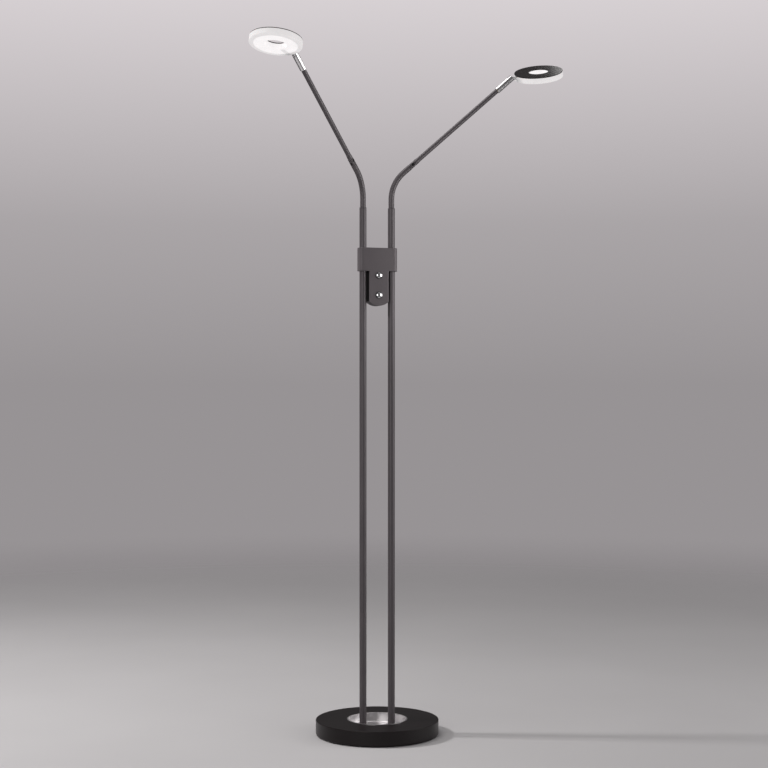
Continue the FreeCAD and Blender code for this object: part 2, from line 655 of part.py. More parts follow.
def arm(side):
    cfg = SIDES[side]
    n = side + "_"
    f_pole = PL(V(cfg["x"] * SZ["pole_half_gap"], 0, SZ["pole_top"]), ROT())
    f_bend = f_pole * PL(V(), ROT(V(0, 0, 1), cfg["azimuth"]))
    f_arm = f_bend * PL(V(KX, 0, KZ), ROT(V(0, 1, 0), SZ["bend_angle"]))
    f_slv = f_arm * PL(V(), ROT(V(0, 0, 1), cfg["roll"]))
    pin_z = SZ["sleeve_end"] - SZ["head_pin_back"]
    f_head = f_slv * PL(V(0, 0, pin_z), ROT(V(0, 1, 0), cfg["tilt"]))
    # disc frame: middle of the head, local Z out of the dark plate's top
    f_disc = f_head * PL(V(-(SZ["head_rise"] - SZ["disc_thick"]), 0, SZ["head_reach"]), ROT(V(0, 1, 0), -90))

    # bush in the top of the pole, its lower edge cut back over half a turn as the swivel stop
    ring = turned(n + "bush_ring", [("bush_bore", "-bush_length"), ("bush_radius", "-bush_length"), ("bush_radius", 0.02), ("bush_flange_radius", 0.02),
                                    ("bush_flange_radius", "bush_flange-0.3"), ("bush_flange_radius-0.3", "bush_flange"), ("bush_bore", "bush_flange")])
    bush = cut(n + "swivel_bush", ring, box(n + "stop_notch", 20.0, 10.0, 5.0, (-1.62, -5.0, "-bush_length-1")))
    # notch opens on local +X, turned to face straight outward
    doc.getObject(n + "stop_notch").Placement = PL(V(-1.62, -10, -SZ["bush_length"] - 1), ROT())
    doc.getObject(n + "stop_notch").setExpression("Width", "20")
    bush.Placement = f_pole * PL(V(), ROT(V(0, 0, 1), 0.0 if cfg["x"] > 0 else 180.0))
    BUSHES.append(bush)

    # bent tube, with the lead inside it
    body = make_body(n + "bend_tube")
    path = bend_path(body, n + "bend_path", "-bend_depth", "bend_run")
    prof = make_sketch(body, n + "bend_outer", "XY_Plane", "-bend_depth")
    circle(prof, 0.0, 0.0, "bend_tube_radius")
    circle(prof, 0.0, 0.0, "bend_tube_bore")
    pipe(body, "AdditivePipe", n + "bend_wall", prof, path)
    sk = make_sketch(body, n + "stop_pin_hole", "YZ_Plane")
    circle(sk, 0.0, "-bush_length+2", 1.2)
    pocket(body, sk, n + "stop_pin_cut", 9.0, rev=True)
    keep(body, n + "bend_tube", f_bend)
    body = make_body(n + "bend_lead")
    path = bend_path(body, n + "bend_lead_path", "-bend_depth+4", "bend_run-11")
    prof = make_sketch(body, n + "bend_lead_profile", "XY_Plane", "-bend_depth+4")
    circle(prof, 0.0, 0.0, "lead_radius")
    pipe(body, "AdditivePipe", n + "bend_lead_pipe", prof, path)
    keep(body, n + "bend_lead", f_bend)

    # stop pin pressed in the bent tube's wall, running in the bush's cut-back half turn
    keep(cyl(n + "stop_pin", 1.2, 1.5, (5.25, 0.0, "-bush_length+2"), ALONG_X), n + "stop_pin", None)
    pin = doc.getObject(n + "stop_pin")
    pin.setExpression("Placement.Base.z", None)
    pin.Placement = f_bend * PL(V(5.25, 0, -SZ["bush_length"] + 2), ALONG_X)

    # knuckle: fork on the bent tube, eye on the straight arm
    outline = fuse(n + "fork_outline", [
        box(n + "fk_flat", "2*knuckle_radius+2", "2*cheek_out", 13.0, ("-knuckle_radius-1", "-cheek_out", -13.0)),
        cyl(n + "fk_eye", "knuckle_radius", "2*cheek_out", (0.0, "-cheek_out", 0.0), ALONG_Y),
        cyl(n + "fk_root", "knuckle_radius+1", 4.0, (0.0, 0.0, -16.5))])
    barrel = doc.addObject("Part::Common", n + "fork_barrel")
    barrel.Base, barrel.Tool = outline, cyl(n + "fk_shaft", "knuckle_radius", "knuckle_radius+17", (0.0, 0.0, -16.0))
    obr = fuse(n + "fork_blank", [barrel, cyl(n + "fk_spigot", "bend_tube_bore-0.05", 10.5, (0.0, 0.0, -26.0))])
    fork = cut(n + "fork_cut1", obr, box(n + "fk_slot", 40.0, "2*slot_half", 30.0, (-20.0, "-slot_half", -8.4)))
    fork = cut(n + "fork_cut2", fork, cyl(n + "fk_hole", "fork_hole", 30.0, (0.0, -15.0, 0.0), ALONG_Y))
    fork = cut(n + "fork_cut3", fork, cyl(n + "fk_sink_a", "sink_radius", "sink_depth+2", (0.0, "-cheek_out-2", 0.0), ALONG_Y))
    fork = cut(n + "fork_cut4", fork, cyl(n + "fk_sink_b", "sink_radius", "sink_depth+2", (0.0, "cheek_out-sink_depth", 0.0), ALONG_Y))
    keep(fork, n + "knuckle_fork", f_arm)
    # the collar is hollowed to wrap the fork's rounded end, clear of it over the whole tilt
    collar = cut(n + "ey_collar", cyl(n + "ey_collar_blank", "collar_radius", 7.2, (0.0, 0.0, 5.2)),
                 cyl(n + "ey_collar_hollow", "knuckle_radius+0.4", 30.0, (0.0, -15.0, 0.0), ALONG_Y))
    eye = fuse(n + "eye_blank", [
        cyl(n + "ey_eye", "eye_radius", "2*eye_half", (0.0, "-eye_half", 0.0), ALONG_Y),
        box(n + "ey_neck", 10.0, "2*eye_half", 9.5, (-5.0, "-eye_half", 0.0)), collar,
        cone(n + "ey_taper", "collar_radius", "arm_radius+0.1", 4.6, (0.0, 0.0, 12.4)),
        cyl(n + "ey_spigot", "arm_bore-0.05", 14.0, (0.0, 0.0, 16.5))])
    eye = cut(n + "eye_cut", eye, cyl(n + "ey_hole", "knuckle_bore", 30.0, (0.0, -15.0, 0.0), ALONG_Y))
    keep(eye, n + "knuckle_eye", f_arm)
    screw = fuse(n + "kscrew_blank", [cyl(n + "ks_shank", "knuckle_pin", "2*cheek_out-0.6", (0.0, "-cheek_out+0.3", 0.0), ALONG_Y),
                                      cyl(n + "ks_head", "sink_radius-0.1", "sink_depth-0.1", (0.0, "-cheek_out+0.05", 0.0), ALONG_Y)])
    screw = cut(n + "kscrew", screw, box(n + "ks_slot", 9.0, 0.75, 1.0, (-4.5, "-cheek_out-0.05", -0.5)))
    keep(screw, n + "knuckle_screw", f_arm)
    nut = doc.addObject("Part::Prism", n + "nut_prism")
    nut.Polygon = 6
    nut.Circumradius = 3.2
    nut.Height = 1.3
    put(nut, (0.0, "cheek_out-sink_depth+0.03", 0.0), ALONG_Y)
    nut = cut(n + "knut", nut, cyl(n + "kn_hole", "knuckle_pin+0.01", 10.0, (0.0, "cheek_out-2", 0.0), ALONG_Y))
    keep(nut, n + "knuckle_nut", f_arm)
    items = []
    for k, y in enumerate(("-slot_half+0.02", "eye_half+0.02")):
        items.append(cut(n + "washer%d" % k, cyl(n + "ws_out%d" % k, 5.8, "slot_half-eye_half-0.04", (0.0, y, 0.0), ALONG_Y),
                         cyl(n + "ws_in%d" % k, "knuckle_pin+0.05", 4.0, (0.0, y + "-1", 0.0), ALONG_Y)))
    keep(group(n + "washers", items), n + "friction_washers", f_arm)

    # straight arm, its lead, and the spigot that the chrome sleeve turns on
    turned(n + "arm_tube", [("arm_bore", "arm_start"), ("arm_radius", "arm_start"), ("arm_radius", "sleeve_start-0.3"), ("arm_bore", "sleeve_start-0.3")],
           place=f_arm, label=n + "arm_tube")
    keep(cyl(n + "arm_lead", "lead_radius", "sleeve_start-55", (0.0, 0.0, "arm_start+14.5")), n + "arm_lead", None)
    lead = doc.getObject(n + "arm_lead")
    lead.setExpression("Placement.Base.z", None)
    lead.Placement = f_arm * PL(V(0, 0, SZ["arm_start"] + 14.5), ROT())
    turned(n + "sleeve_spigot", [(1.8, "sleeve_start-22"), ("arm_bore-0.05", "sleeve_start-22"), ("arm_bore-0.05", "sleeve_start-0.3"),
                                 ("spigot_radius", "sleeve_start-0.3"), ("spigot_radius", "sleeve_start+12"), ("spigot_radius-0.8", "sleeve_start+12"),
                                 ("spigot_radius-0.8", "sleeve_start+14"), ("spigot_radius", "sleeve_start+14"), ("spigot_radius", "sleeve_start+24"), (1.8, "sleeve_start+24")],
           place=f_arm, label=n + "sleeve_spigot")

    # chrome sleeve, bored for the spigot, slotted at its end for the head's tang
    slv = turned(n + "sleeve_turned", [("sleeve_bore", "sleeve_start"), ("sleeve_radius-0.4", "sleeve_start"), ("sleeve_radius", "sleeve_start+0.4"),
                                       ("sleeve_radius", "sleeve_end-0.6"), ("sleeve_radius-0.6", "sleeve_end"), (0.0, "sleeve_end"), (0.0, "sleeve_start+25"), ("sleeve_bore", "sleeve_start+25")])
    slv = cut(n + "sleeve_cut1", slv, box(n + "sl_slot", 40.0, "2*head_slot_half", 40.0, (-20.0, "-head_slot_half", "sleeve_end-head_pin_back-5.2")))
    slv = cut(n + "sleeve_cut2", slv, cyl(n + "sl_hole", "head_pin_radius+0.01", 30.0, (0.0, -15.0, "sleeve_end-head_pin_back"), ALONG_Y))
    keep(slv, n + "chrome_sleeve", f_slv)
    hp = cyl(n + "head_pin", "head_pin_radius", 13.4, (0.0, -6.7, "sleeve_end-head_pin_back"), ALONG_Y)
    hp.setExpression("Placement.Base.z", None)
    keep(hp, n + "head_pin", f_slv * PL(V(0, -6.7, pin_z), ALONG_Y))

    # tang on the head: eye on the pin, neck, flat bar under the dark plate as far as the hub
    gap = "head_reach-ring_radius"
    tang = fuse(n + "tang_blank", [
        cyl(n + "tg_eye", "tang_radius", "2*tang_half", (0.0, "-tang_half", 0.0), ALONG_Y),
        box(n + "tg_neck", 6.4, "2*tang_half", gap + "-0.5", (-2.8, "-tang_half", 0.0)),
        box(n + "tg_foot", 5.2, 8.0, 2.4, ("-head_rise+disc_thick+0.1", -4.0, gap + "-2.9")),
        box(n + "tg_bar", 2.2, 8.0, "ring_radius-ring_hub", ("-head_rise+disc_thick+0.1", -4.0, gap + "-2.9"))])
    tang = cut(n + "tang_cut", tang, cyl(n + "tg_hole", "head_pin_bore", 30.0, (0.0, -15.0, 0.0), ALONG_Y))
    tang = cut(n + "tang_cut2", tang, cyl(n + "tg_screw_hole", 1.3, 30.0, (-15.0, 0.0, "head_reach-31"), ALONG_X))
    keep(tang, n + "head_tang", f_head)

    # dark top plate
    body = make_body(n + "head_plate")
    sk = make_sketch(body, n + "plate_rings", "XY_Plane")
    circle(sk, 0.0, 0.0, "disc_radius")
    circle(sk, 0.0, 0.0, "disc_hole")
    pad(body, sk, n + "plate_pad", "disc_thick")
    round_edges(body, n + "plate_round", 0.5, ring_edge(SZ["disc_radius"], SZ["disc_thick"]))
    round_edges(body, n + "plate_hole_round", 0.4, ring_edge(SZ["disc_hole"], SZ["disc_thick"]))
    keep(body, n + "head_plate", f_disc)

    # clear ring below it, a channel with a closed floor, notched for the tang's bar
    ring = turned(n + "ring_turned", [("ring_hole", "-ring_depth"), ("ring_radius", "-ring_depth"), ("ring_radius", -0.05), ("ring_wall_in", -0.05),
                                      ("ring_wall_in", "-ring_depth+ring_floor"), ("ring_hub", "-ring_depth+ring_floor"), ("ring_hub", -0.05), ("ring_hole", -0.05)],
                  rounds=(("ring_radius", "-ring_depth", 2.5), ("ring_hole", "-ring_depth", 1.0)))
    # local -X of the disc frame points to the hinge
    ring = cut(n + "ring_cut", ring, box(n + "ring_notch", 16.0, 8.6, 5.6, (-58.0, -4.3, -5.6)))
    keep(ring, n + "diffuser_ring", f_disc)

    # ring of lamps: board, chips on its underside, three screws up into the plate
    brd = make_body(n + "led_board")
    sk = make_sketch(brd, n + "board_rings", "XY_Plane", -4.0)
    circle(sk, 0.0, 0.0, "board_out")
    circle(sk, 0.0, 0.0, "board_in")
    pad(brd, sk, n + "board_pad", "board_thick")
    sk = make_sketch(brd, n + "board_screw_holes", "XY_Plane", -4.0)
    for a in (60, 180, 300):
        circle(sk, "31*%.6f" % math.cos(math.radians(a)), "31*%.6f" % math.sin(math.radians(a)), 1.3)
    pocket(brd, sk, n + "board_hole_cut", "board_thick")
    keep(brd, n + "led_board", f_disc)
    items = []
    for k in range(20):
        a = 2 * math.pi * (k + 0.5) / 20
        b = box(n + "chip%d" % k, 3.0, 2.6, 0.7, (0.0, 0.0, 0.0))
        b.Placement = PL(V(), ROT(V(0, 0, 1), math.degrees(a))) * PL(V(36.5, -1.3, -4.75), ROT())
        items.append(b)
    keep(group(n + "chips", items), n + "led_chips", f_disc)
    items = []
    for k, a in enumerate((60, 180, 300)):
        x, y = "31*%.6f" % math.cos(math.radians(a)), "31*%.6f" % math.sin(math.radians(a))
        items.append(fuse(n + "hscrew%d" % k, [cyl(n + "hs_shank%d" % k, 1.2, 4.9, (x, y, -5.0)), cyl(n + "hs_head%d" % k, 2.2, 1.2, (x, y, -5.4))]))
    keep(group(n + "hscrews", items), n + "head_screws", f_disc)


BUSHES = []
for side in ("left", "right"):
    arm(side)
keep(group("bush_pair", BUSHES), "swivel_bushes")

# Leads up the poles, in one straight run each beside the plug.
for side, s in (("left", -1), ("right", 1)):
    x = s * (SZ["pole_half_gap"] - 5.5)
    FIXED_LEADS.append(cyl(side + "_pole_lead", 1.2, 1138.0, (x, 0.0, 9.6)))
keep(group("fixed_leads", FIXED_LEADS), "pole_leads")

# =====================================================================
# CHECK AND WRITE
# =====================================================================
doc.recompute()
for o in doc.Objects:
    if "Invalid" in o.State or "Error" in o.State:
        raise RuntimeError("failed object: %s %s" % (o.Name, o.State))
names = set()
for o, label in FINAL:
    sh = o.Shape
    if sh.isNull() or not sh.isValid() or sh.Volume <= 0:
        raise RuntimeError("bad shape: %s %s %s" % (label, sh.isValid(), sh.Volume))
    if label in names:
        raise RuntimeError("name twice: " + label)
    names.add(label)
    sh.exportStep("parts/%s.step" % label)
    print("%-24s solids %2d  vol %12.1f" % (label, len(sh.Solids), sh.Volume))
print("nodes", len(FINAL))
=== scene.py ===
import json
import math
import bpy
from mathutils import Matrix, Vector

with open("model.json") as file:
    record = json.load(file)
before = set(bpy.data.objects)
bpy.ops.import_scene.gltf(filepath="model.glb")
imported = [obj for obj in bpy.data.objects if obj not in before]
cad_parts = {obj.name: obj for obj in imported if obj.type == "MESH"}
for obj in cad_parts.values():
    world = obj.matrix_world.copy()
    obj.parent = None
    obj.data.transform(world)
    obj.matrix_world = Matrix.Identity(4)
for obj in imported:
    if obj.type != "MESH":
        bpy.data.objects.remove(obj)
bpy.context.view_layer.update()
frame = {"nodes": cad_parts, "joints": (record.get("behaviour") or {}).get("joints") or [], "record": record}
nodes = frame["nodes"]
joints = {j["name"]: j for j in frame["joints"]}


# ---------------------------------------------------------------------
# node helpers
# ---------------------------------------------------------------------
class Tree:
    """A material's node tree with short calls for the nodes that are used often."""

    def __init__(self, name):
        self.mat = bpy.data.materials.new(name)
        self.mat.use_nodes = True
        self.t = self.mat.node_tree
        self.t.nodes.clear()
        self.out = self.t.nodes.new("ShaderNodeOutputMaterial")
        self.bsdf = self.t.nodes.new("ShaderNodeBsdfPrincipled")
        self.t.links.new(self.bsdf.outputs["BSDF"], self.out.inputs["Surface"])
        self.coord = self.t.nodes.new("ShaderNodeTexCoord").outputs["Object"]

    def link(self, a, b):
        self.t.links.new(a, b)

    def put(self, socket, value):
        if isinstance(value, bpy.types.NodeSocket):
            self.link(value, socket)
        else:
            socket.default_value = value

    def math(self, op, a, b=0.0, c=0.0, clamp=False):
        n = self.t.nodes.new("ShaderNodeMath")
        n.operation = op
        n.use_clamp = clamp
        for i, v in enumerate((a, b, c)):
            self.put(n.inputs[i], v)
        return n.outputs[0]

    def noise(self, scale, detail=2.0, rough=0.5, vector=None, distortion=0.0):
        n = self.t.nodes.new("ShaderNodeTexNoise")
        self.link(vector or self.coord, n.inputs["Vector"])
        n.inputs["Scale"].default_value = scale
        n.inputs["Detail"].default_value = detail
        n.inputs["Roughness"].default_value = rough
        n.inputs["Distortion"].default_value = distortion
        return n.outputs["Fac"]

    def voronoi(self, scale, vector=None, feature="F1"):
        n = self.t.nodes.new("ShaderNodeTexVoronoi")
        n.feature = feature
        self.link(vector or self.coord, n.inputs["Vector"])
        n.inputs["Scale"].default_value = scale
        return n.outputs["Distance"]

    def remap(self, v, a, b, c, d, smooth=False):
        n = self.t.nodes.new("ShaderNodeMapRange")
        if smooth:
            n.interpolation_type = "SMOOTHSTEP"
        self.put(n.inputs["Value"], v)
        for k, x in zip(("From Min", "From Max", "To Min", "To Max"), (a, b, c, d)):
            n.inputs[k].default_value = x
        return n.outputs["Result"]

    def ramp(self, v, stops):
        n = self.t.nodes.new("ShaderNodeValToRGB")
        self.link(v, n.inputs["Fac"])
        e = n.color_ramp.elements
        while len(e) < len(stops):
            e.new(0.5)
        for el, (p, c) in zip(e, stops):
            el.position = p
            el.color = (c[0], c[1], c[2], 1.0)
        return n.outputs["Color"]

    def mix(self, f, a, b):
        n = self.t.nodes.new("ShaderNodeMix")
        n.data_type = "RGBA"
        self.put(n.inputs[0], f)
        for s, v in ((n.inputs[6], a), (n.inputs[7], b)):
            self.put(s, v if isinstance(v, bpy.types.NodeSocket) else (v[0], v[1], v[2], 1.0))
        return n.outputs[2]

    def bump(self, height, strength, distance, after=None):
        n = self.t.nodes.new("ShaderNodeBump")
        n.inputs["Strength"].default_value = strength
        n.inputs["Distance"].default_value = distance
        self.link(height, n.inputs["Height"])
        if after is not None:
            self.link(after, n.inputs["Normal"])
        return n.outputs["Normal"]

    def scaled(self, sx, sy, sz):
        n = self.t.nodes.new("ShaderNodeMapping")
        n.inputs["Scale"].default_value = (sx, sy, sz)
        self.link(self.coord, n.inputs["Vector"])
        return n.outputs["Vector"]

    def local(self, matrix, vector=None):
        """Object coordinates in another frame, given by its matrix in the row frame, in metres."""
        inv = matrix.inverted()
        n = self.t.nodes.new("ShaderNodeMapping")
        n.inputs["Location"].default_value = inv.to_translation()
        n.inputs["Rotation"].default_value = inv.to_euler("XYZ")
        self.link(vector or self.coord, n.inputs["Vector"])
        return n.outputs["Vector"]

    def split(self, v):
        n = self.t.nodes.new("ShaderNodeSeparateXYZ")
        self.link(v, n.inputs[0])
        return n.outputs[0], n.outputs[1], n.outputs[2]

    def radius(self, v):
        x, y, z = self.split(v)
        return self.math("SQRT", self.math("ADD", self.math("MULTIPLY", x, x), self.math("MULTIPLY", y, y))), z

    def angle(self, v):
        x, y, z = self.split(v)
        return self.math("ARCTAN2", y, x)


def powder_coat(name, dark, light, rough, metal=0.0, grain=1500.0, depth=0.00005, strength=0.35, coat=0.0, spec=0.5):
    """Oven-baked powder paint: fine orange peel, soft tone changes and a rougher grain in places."""
    t = Tree(name)
    big = t.noise(9.0, 3.0, 0.55)
    fine = t.noise(grain, 2.0, 0.6)
    peel = t.noise(grain * 0.22, 2.0, 0.5)
    tone = t.math("ADD", t.math("MULTIPLY", big, 0.6), t.math("MULTIPLY", fine, 0.4))
    t.link(t.ramp(tone, [(0.3, dark), (0.7, light)]), t.bsdf.inputs["Base Color"])
    r = t.math("ADD", t.remap(fine, 0.3, 0.7, rough - 0.05, rough + 0.05), t.remap(big, 0.3, 0.7, -0.025, 0.025))
    t.link(r, t.bsdf.inputs["Roughness"])
    n1 = t.bump(peel, strength * 0.5, depth * 2.0)
    t.link(t.bump(fine, strength, depth, n1), t.bsdf.inputs["Normal"])
    t.bsdf.inputs["Metallic"].default_value = metal
    t.bsdf.inputs["Specular IOR Level"].default_value = spec
    if coat:
        t.bsdf.inputs["Coat Weight"].default_value = coat
        t.bsdf.inputs["Coat Roughness"].default_value = 0.12
    return t.mat


def block_coat(name):
    """Anthracite powder paint on the faces; the flanks of the tongue get painted shade, a near-black colour standing
    in for the shadow that falls on them.
    """
    t = Tree(name)
    x, y, z = t.split(t.coord)
    # painted shade: the mask picks the tongue's flanks (|x| past about 23.3 mm, below about 1.056 m), which are
    # painted near-black for their shadow
    painted_shade_flank = t.math("MULTIPLY", t.remap(t.math("ABSOLUTE", x), 0.0232, 0.0234, 0.0, 1.0), t.remap(z, 1.0560, 1.0558, 0.0, 1.0))
    big = t.noise(9.0, 3.0, 0.55)
    fine = t.noise(1500.0, 2.0, 0.6)
    peel = t.noise(330.0, 2.0, 0.5)
    tone = t.math("ADD", t.math("MULTIPLY", big, 0.6), t.math("MULTIPLY", fine, 0.4))
    grey = t.ramp(tone, [(0.3, (0.110, 0.098, 0.105)), (0.7, (0.142, 0.127, 0.135))])
    # near-black colour of the painted shade on the flanks
    black = t.ramp(tone, [(0.3, (0.0040, 0.0038, 0.0040)), (0.7, (0.0070, 0.0066, 0.0068))])
    t.link(t.mix(painted_shade_flank, grey, black), t.bsdf.inputs["Base Color"])
    r = t.math("ADD", t.remap(fine, 0.3, 0.7, 0.39, 0.49), t.math("MULTIPLY", painted_shade_flank, 0.2))
    t.link(r, t.bsdf.inputs["Roughness"])
    t.link(t.bump(fine, 0.34, 0.00005, t.bump(peel, 0.17, 0.0001)), t.bsdf.inputs["Normal"])
    t.link(t.remap(painted_shade_flank, 0.0, 1.0, 0.2, 0.0), t.bsdf.inputs["Metallic"])
    t.bsdf.inputs["Specular IOR Level"].default_value = 0.4
    return t.mat


def polished(name, low, high, rough, smear=0.05, scratch=0.15):
    """Plated or polished metal with faint hairlines and handling marks."""
    t = Tree(name)
    cloud = t.noise(35.0, 4.0, 0.6)
    hair = t.noise(300.0, 3.0, 0.7, vector=t.scaled(12.0, 12.0, 0.6))
    t.link(t.ramp(cloud, [(0.25, low), (0.75, high)]), t.bsdf.inputs["Base Color"])
    r = t.math("ADD", t.remap(cloud, 0.3, 0.72, rough, rough + smear), t.remap(hair, 0.4, 0.7, 0.0, 0.03))
    t.link(r, t.bsdf.inputs["Roughness"])
    t.link(t.bump(hair, scratch, 0.00001), t.bsdf.inputs["Normal"])
    t.bsdf.inputs["Metallic"].default_value = 1.0
    return t.mat


def spun_steel(name):
    """Spun and polished cup: fine rings about the upright axis."""
    t = Tree(name)
    r, z = t.radius(t.coord)
    comb = t.t.nodes.new("ShaderNodeCombineXYZ")
    t.link(t.math("MULTIPLY", r, 1.0), comb.inputs[0])
    t.link(t.math("MULTIPLY", z, 1.0), comb.inputs[1])
    ring = t.noise(2600.0, 2.0, 0.6, vector=comb.outputs[0])
    wide = t.noise(240.0, 2.0, 0.5, vector=comb.outputs[0])
    cloud = t.noise(40.0, 3.0, 0.6)
    t.link(t.ramp(t.math("ADD", t.math("MULTIPLY", ring, 0.5), t.math("MULTIPLY", cloud, 0.5)),
                  [(0.3, (0.90, 0.88, 0.885)), (0.7, (0.97, 0.955, 0.96))]), t.bsdf.inputs["Base Color"])
    t.link(t.math("ADD", t.remap(wide, 0.3, 0.7, 0.26, 0.31), t.remap(cloud, 0.3, 0.7, 0.0, 0.05)), t.bsdf.inputs["Roughness"])
    t.link(t.bump(ring, 0.22, 0.00002), t.bsdf.inputs["Normal"])
    t.bsdf.inputs["Metallic"].default_value = 1.0
    t.bsdf.inputs["Anisotropic"].default_value = 0.55
    tan = t.t.nodes.new("ShaderNodeTangent")
    tan.direction_type = "RADIAL"
    tan.axis = "Z"
    t.link(tan.outputs[0], t.bsdf.inputs["Tangent"])
    return t.mat


def moulded(name, dark, light, rough=0.5, spark=700.0):
    """Moulded plastic with a fine eroded texture."""
    t = Tree(name)
    grain = t.voronoi(spark * 2.0)
    cloud = t.noise(25.0, 3.0, 0.55)
    t.link(t.ramp(cloud, [(0.3, dark), (0.7, light)]), t.bsdf.inputs["Base Color"])
    t.link(t.remap(grain, 0.0, 0.8, rough - 0.06, rough + 0.08), t.bsdf.inputs["Roughness"])
    t.link(t.bump(grain, 0.25, 0.00004), t.bsdf.inputs["Normal"])
    return t.mat


def felt(name):
    t = Tree(name)
    fibre = t.noise(900.0, 5.0, 0.75, distortion=1.2)
    clump = t.noise(120.0, 3.0, 0.6)
    t.link(t.ramp(t.math("ADD", t.math("MULTIPLY", fibre, 0.6), t.math("MULTIPLY", clump, 0.4)),
                  [(0.3, (0.010, 0.010, 0.011)), (0.75, (0.045, 0.044, 0.046))]), t.bsdf.inputs["Base Color"])
    t.link(t.bump(fibre, 0.8, 0.0004), t.bsdf.inputs["Normal"])
    t.bsdf.inputs["Roughness"].default_value = 0.95
    t.bsdf.inputs["Sheen Weight"].default_value = 0.25
    return t.mat


def cast(name):
    t = Tree(name)
    sand = t.noise(420.0, 4.0, 0.7)
    t.link(t.ramp(sand, [(0.3, (0.05, 0.05, 0.05)), (0.7, (0.12, 0.115, 0.11))]), t.bsdf.inputs["Base Color"])
    t.link(t.remap(sand, 0.3, 0.7, 0.5, 0.72), t.bsdf.inputs["Roughness"])
    t.link(t.bump(sand, 0.5, 0.0003), t.bsdf.inputs["Normal"])
    t.bsdf.inputs["Metallic"].default_value = 0.7
    return t.mat


def board(name):
    t = Tree(name)
    lines = t.noise(160.0, 1.0, 0.4, vector=t.scaled(1.0, 3.0, 1.0))
    t.link(t.ramp(lines, [(0.42, (0.82, 0.83, 0.80)), (0.5, (0.72, 0.74, 0.70))]), t.bsdf.inputs["Base Color"])
    t.link(t.remap(lines, 0.3, 0.7, 0.3, 0.42), t.bsdf.inputs["Roughness"])
    return t.mat


def phosphor(name):
    t = Tree(name)
    dots = t.voronoi(900.0)
    c = t.ramp(dots, [(0.0, (1.0, 0.84, 0.42)), (0.8, (0.92, 0.68, 0.22))])
    t.link(c, t.bsdf.inputs["Base Color"])
    t.link(c, t.bsdf.inputs["Emission Color"])
    t.bsdf.inputs["Emission Strength"].default_value = 1.5
    t.bsdf.inputs["Roughness"].default_value = 0.4
    return t.mat


def lit_acrylic(name, disc):
    """Satin acrylic ring, lit from inside: an even bright band under the lamps, a softer rim outside it."""
    t = Tree(name)
    p = t.local(disc)
    r, z = t.radius(p)
    a = t.angle(p)
    band = t.math("MULTIPLY", t.remap(r, 0.0478, 0.0455, 0.0, 1.0, smooth=True), t.remap(r, 0.0224, 0.0236, 0.78, 1.0, smooth=True))
    # the hinge side of the band is shaded by the bracket above it
    x, y, _ = t.split(p)
    bar = t.math("MULTIPLY", t.remap(t.math("ABSOLUTE", y), 0.0030, 0.0064, 1.0, 0.0, smooth=True), t.remap(x, -0.024, -0.027, 0.0, 1.0))
    near = t.remap(t.math("ABSOLUTE", t.math("SUBTRACT", t.math("ABSOLUTE", a), math.pi)), 0.05, 0.55, 1.0, 0.0, smooth=True)
    near = t.math("MULTIPLY", near, t.remap(r, 0.040, 0.052, 0.0, 1.0, smooth=True))
    side = t.math("SUBTRACT", 1.0, t.math("ADD", t.math("MULTIPLY", bar, 0.22), t.math("MULTIPLY", near, 0.28)))
    cloud = t.remap(t.noise(60.0, 2.0, 0.5), 0.3, 0.7, 0.97, 1.03)
    wall = t.remap(z, -0.013, 0.0, 0.65, 0.62)
    level = t.math("MULTIPLY", t.math("ADD", t.math("MULTIPLY", band, 0.19), wall), side)
    level = t.math("MULTIPLY", level, cloud)
    frost = t.noise(2600.0, 2.0, 0.6)
    t.link(t.ramp(frost, [(0.3, (0.19, 0.19, 0.188)), (0.7, (0.23, 0.23, 0.228))]), t.bsdf.inputs["Base Color"])
    t.link(t.remap(frost, 0.3, 0.7, 0.46, 0.56), t.bsdf.inputs["Roughness"])
    t.link(t.bump(frost, 0.06, 0.00002), t.bsdf.inputs["Normal"])
    t.bsdf.inputs["Emission Color"].default_value = (1.0, 0.965, 0.972, 1.0)
    t.link(level, t.bsdf.inputs["Emission Strength"])
    t.bsdf.inputs["IOR"].default_value = 1.49
    t.bsdf.inputs["Specular IOR Level"].default_value = 0.35
    t.bsdf.inputs["Subsurface Weight"].default_value = 0.12
    t.bsdf.inputs["Subsurface Scale"].default_value = 0.004
    return t.mat


# ---------------------------------------------------------------------
# frames of the two heads, in the row frame, in metres
# ---------------------------------------------------------------------
def turn(axis, deg):
    return Matrix.Rotation(math.radians(deg), 4, axis)


def shift(x, y, z):
    return Matrix.Translation((x / 1000.0, y / 1000.0, z / 1000.0))


BEND = 48.5
KX = 82.0 * (1 - math.cos(math.radians(BEND))) + 29.0 * math.sin(math.radians(BEND))
KZ = 21.0 + 82.0 * math.sin(math.radians(BEND)) + 29.0 * math.cos(math.radians(BEND))
DISC, ARM = {}, {}
for side, x, azimuth, roll, tilt in (("left", -34.0, 221.0, 1.8, 29.0), ("right", 34.0, -13.0, 28.2, 29.9)):
    arm = shift(x, 0, 1200.0) @ turn("Z", azimuth) @ shift(KX, 0, KZ) @ turn("Y", BEND)
    ARM[side] = arm
    DISC[side] = arm @ turn("Z", roll) @ shift(0, 0, 302.0) @ turn("Y", tilt) @ shift(-2.0, 0, 73.0) @ turn("Y", -90)

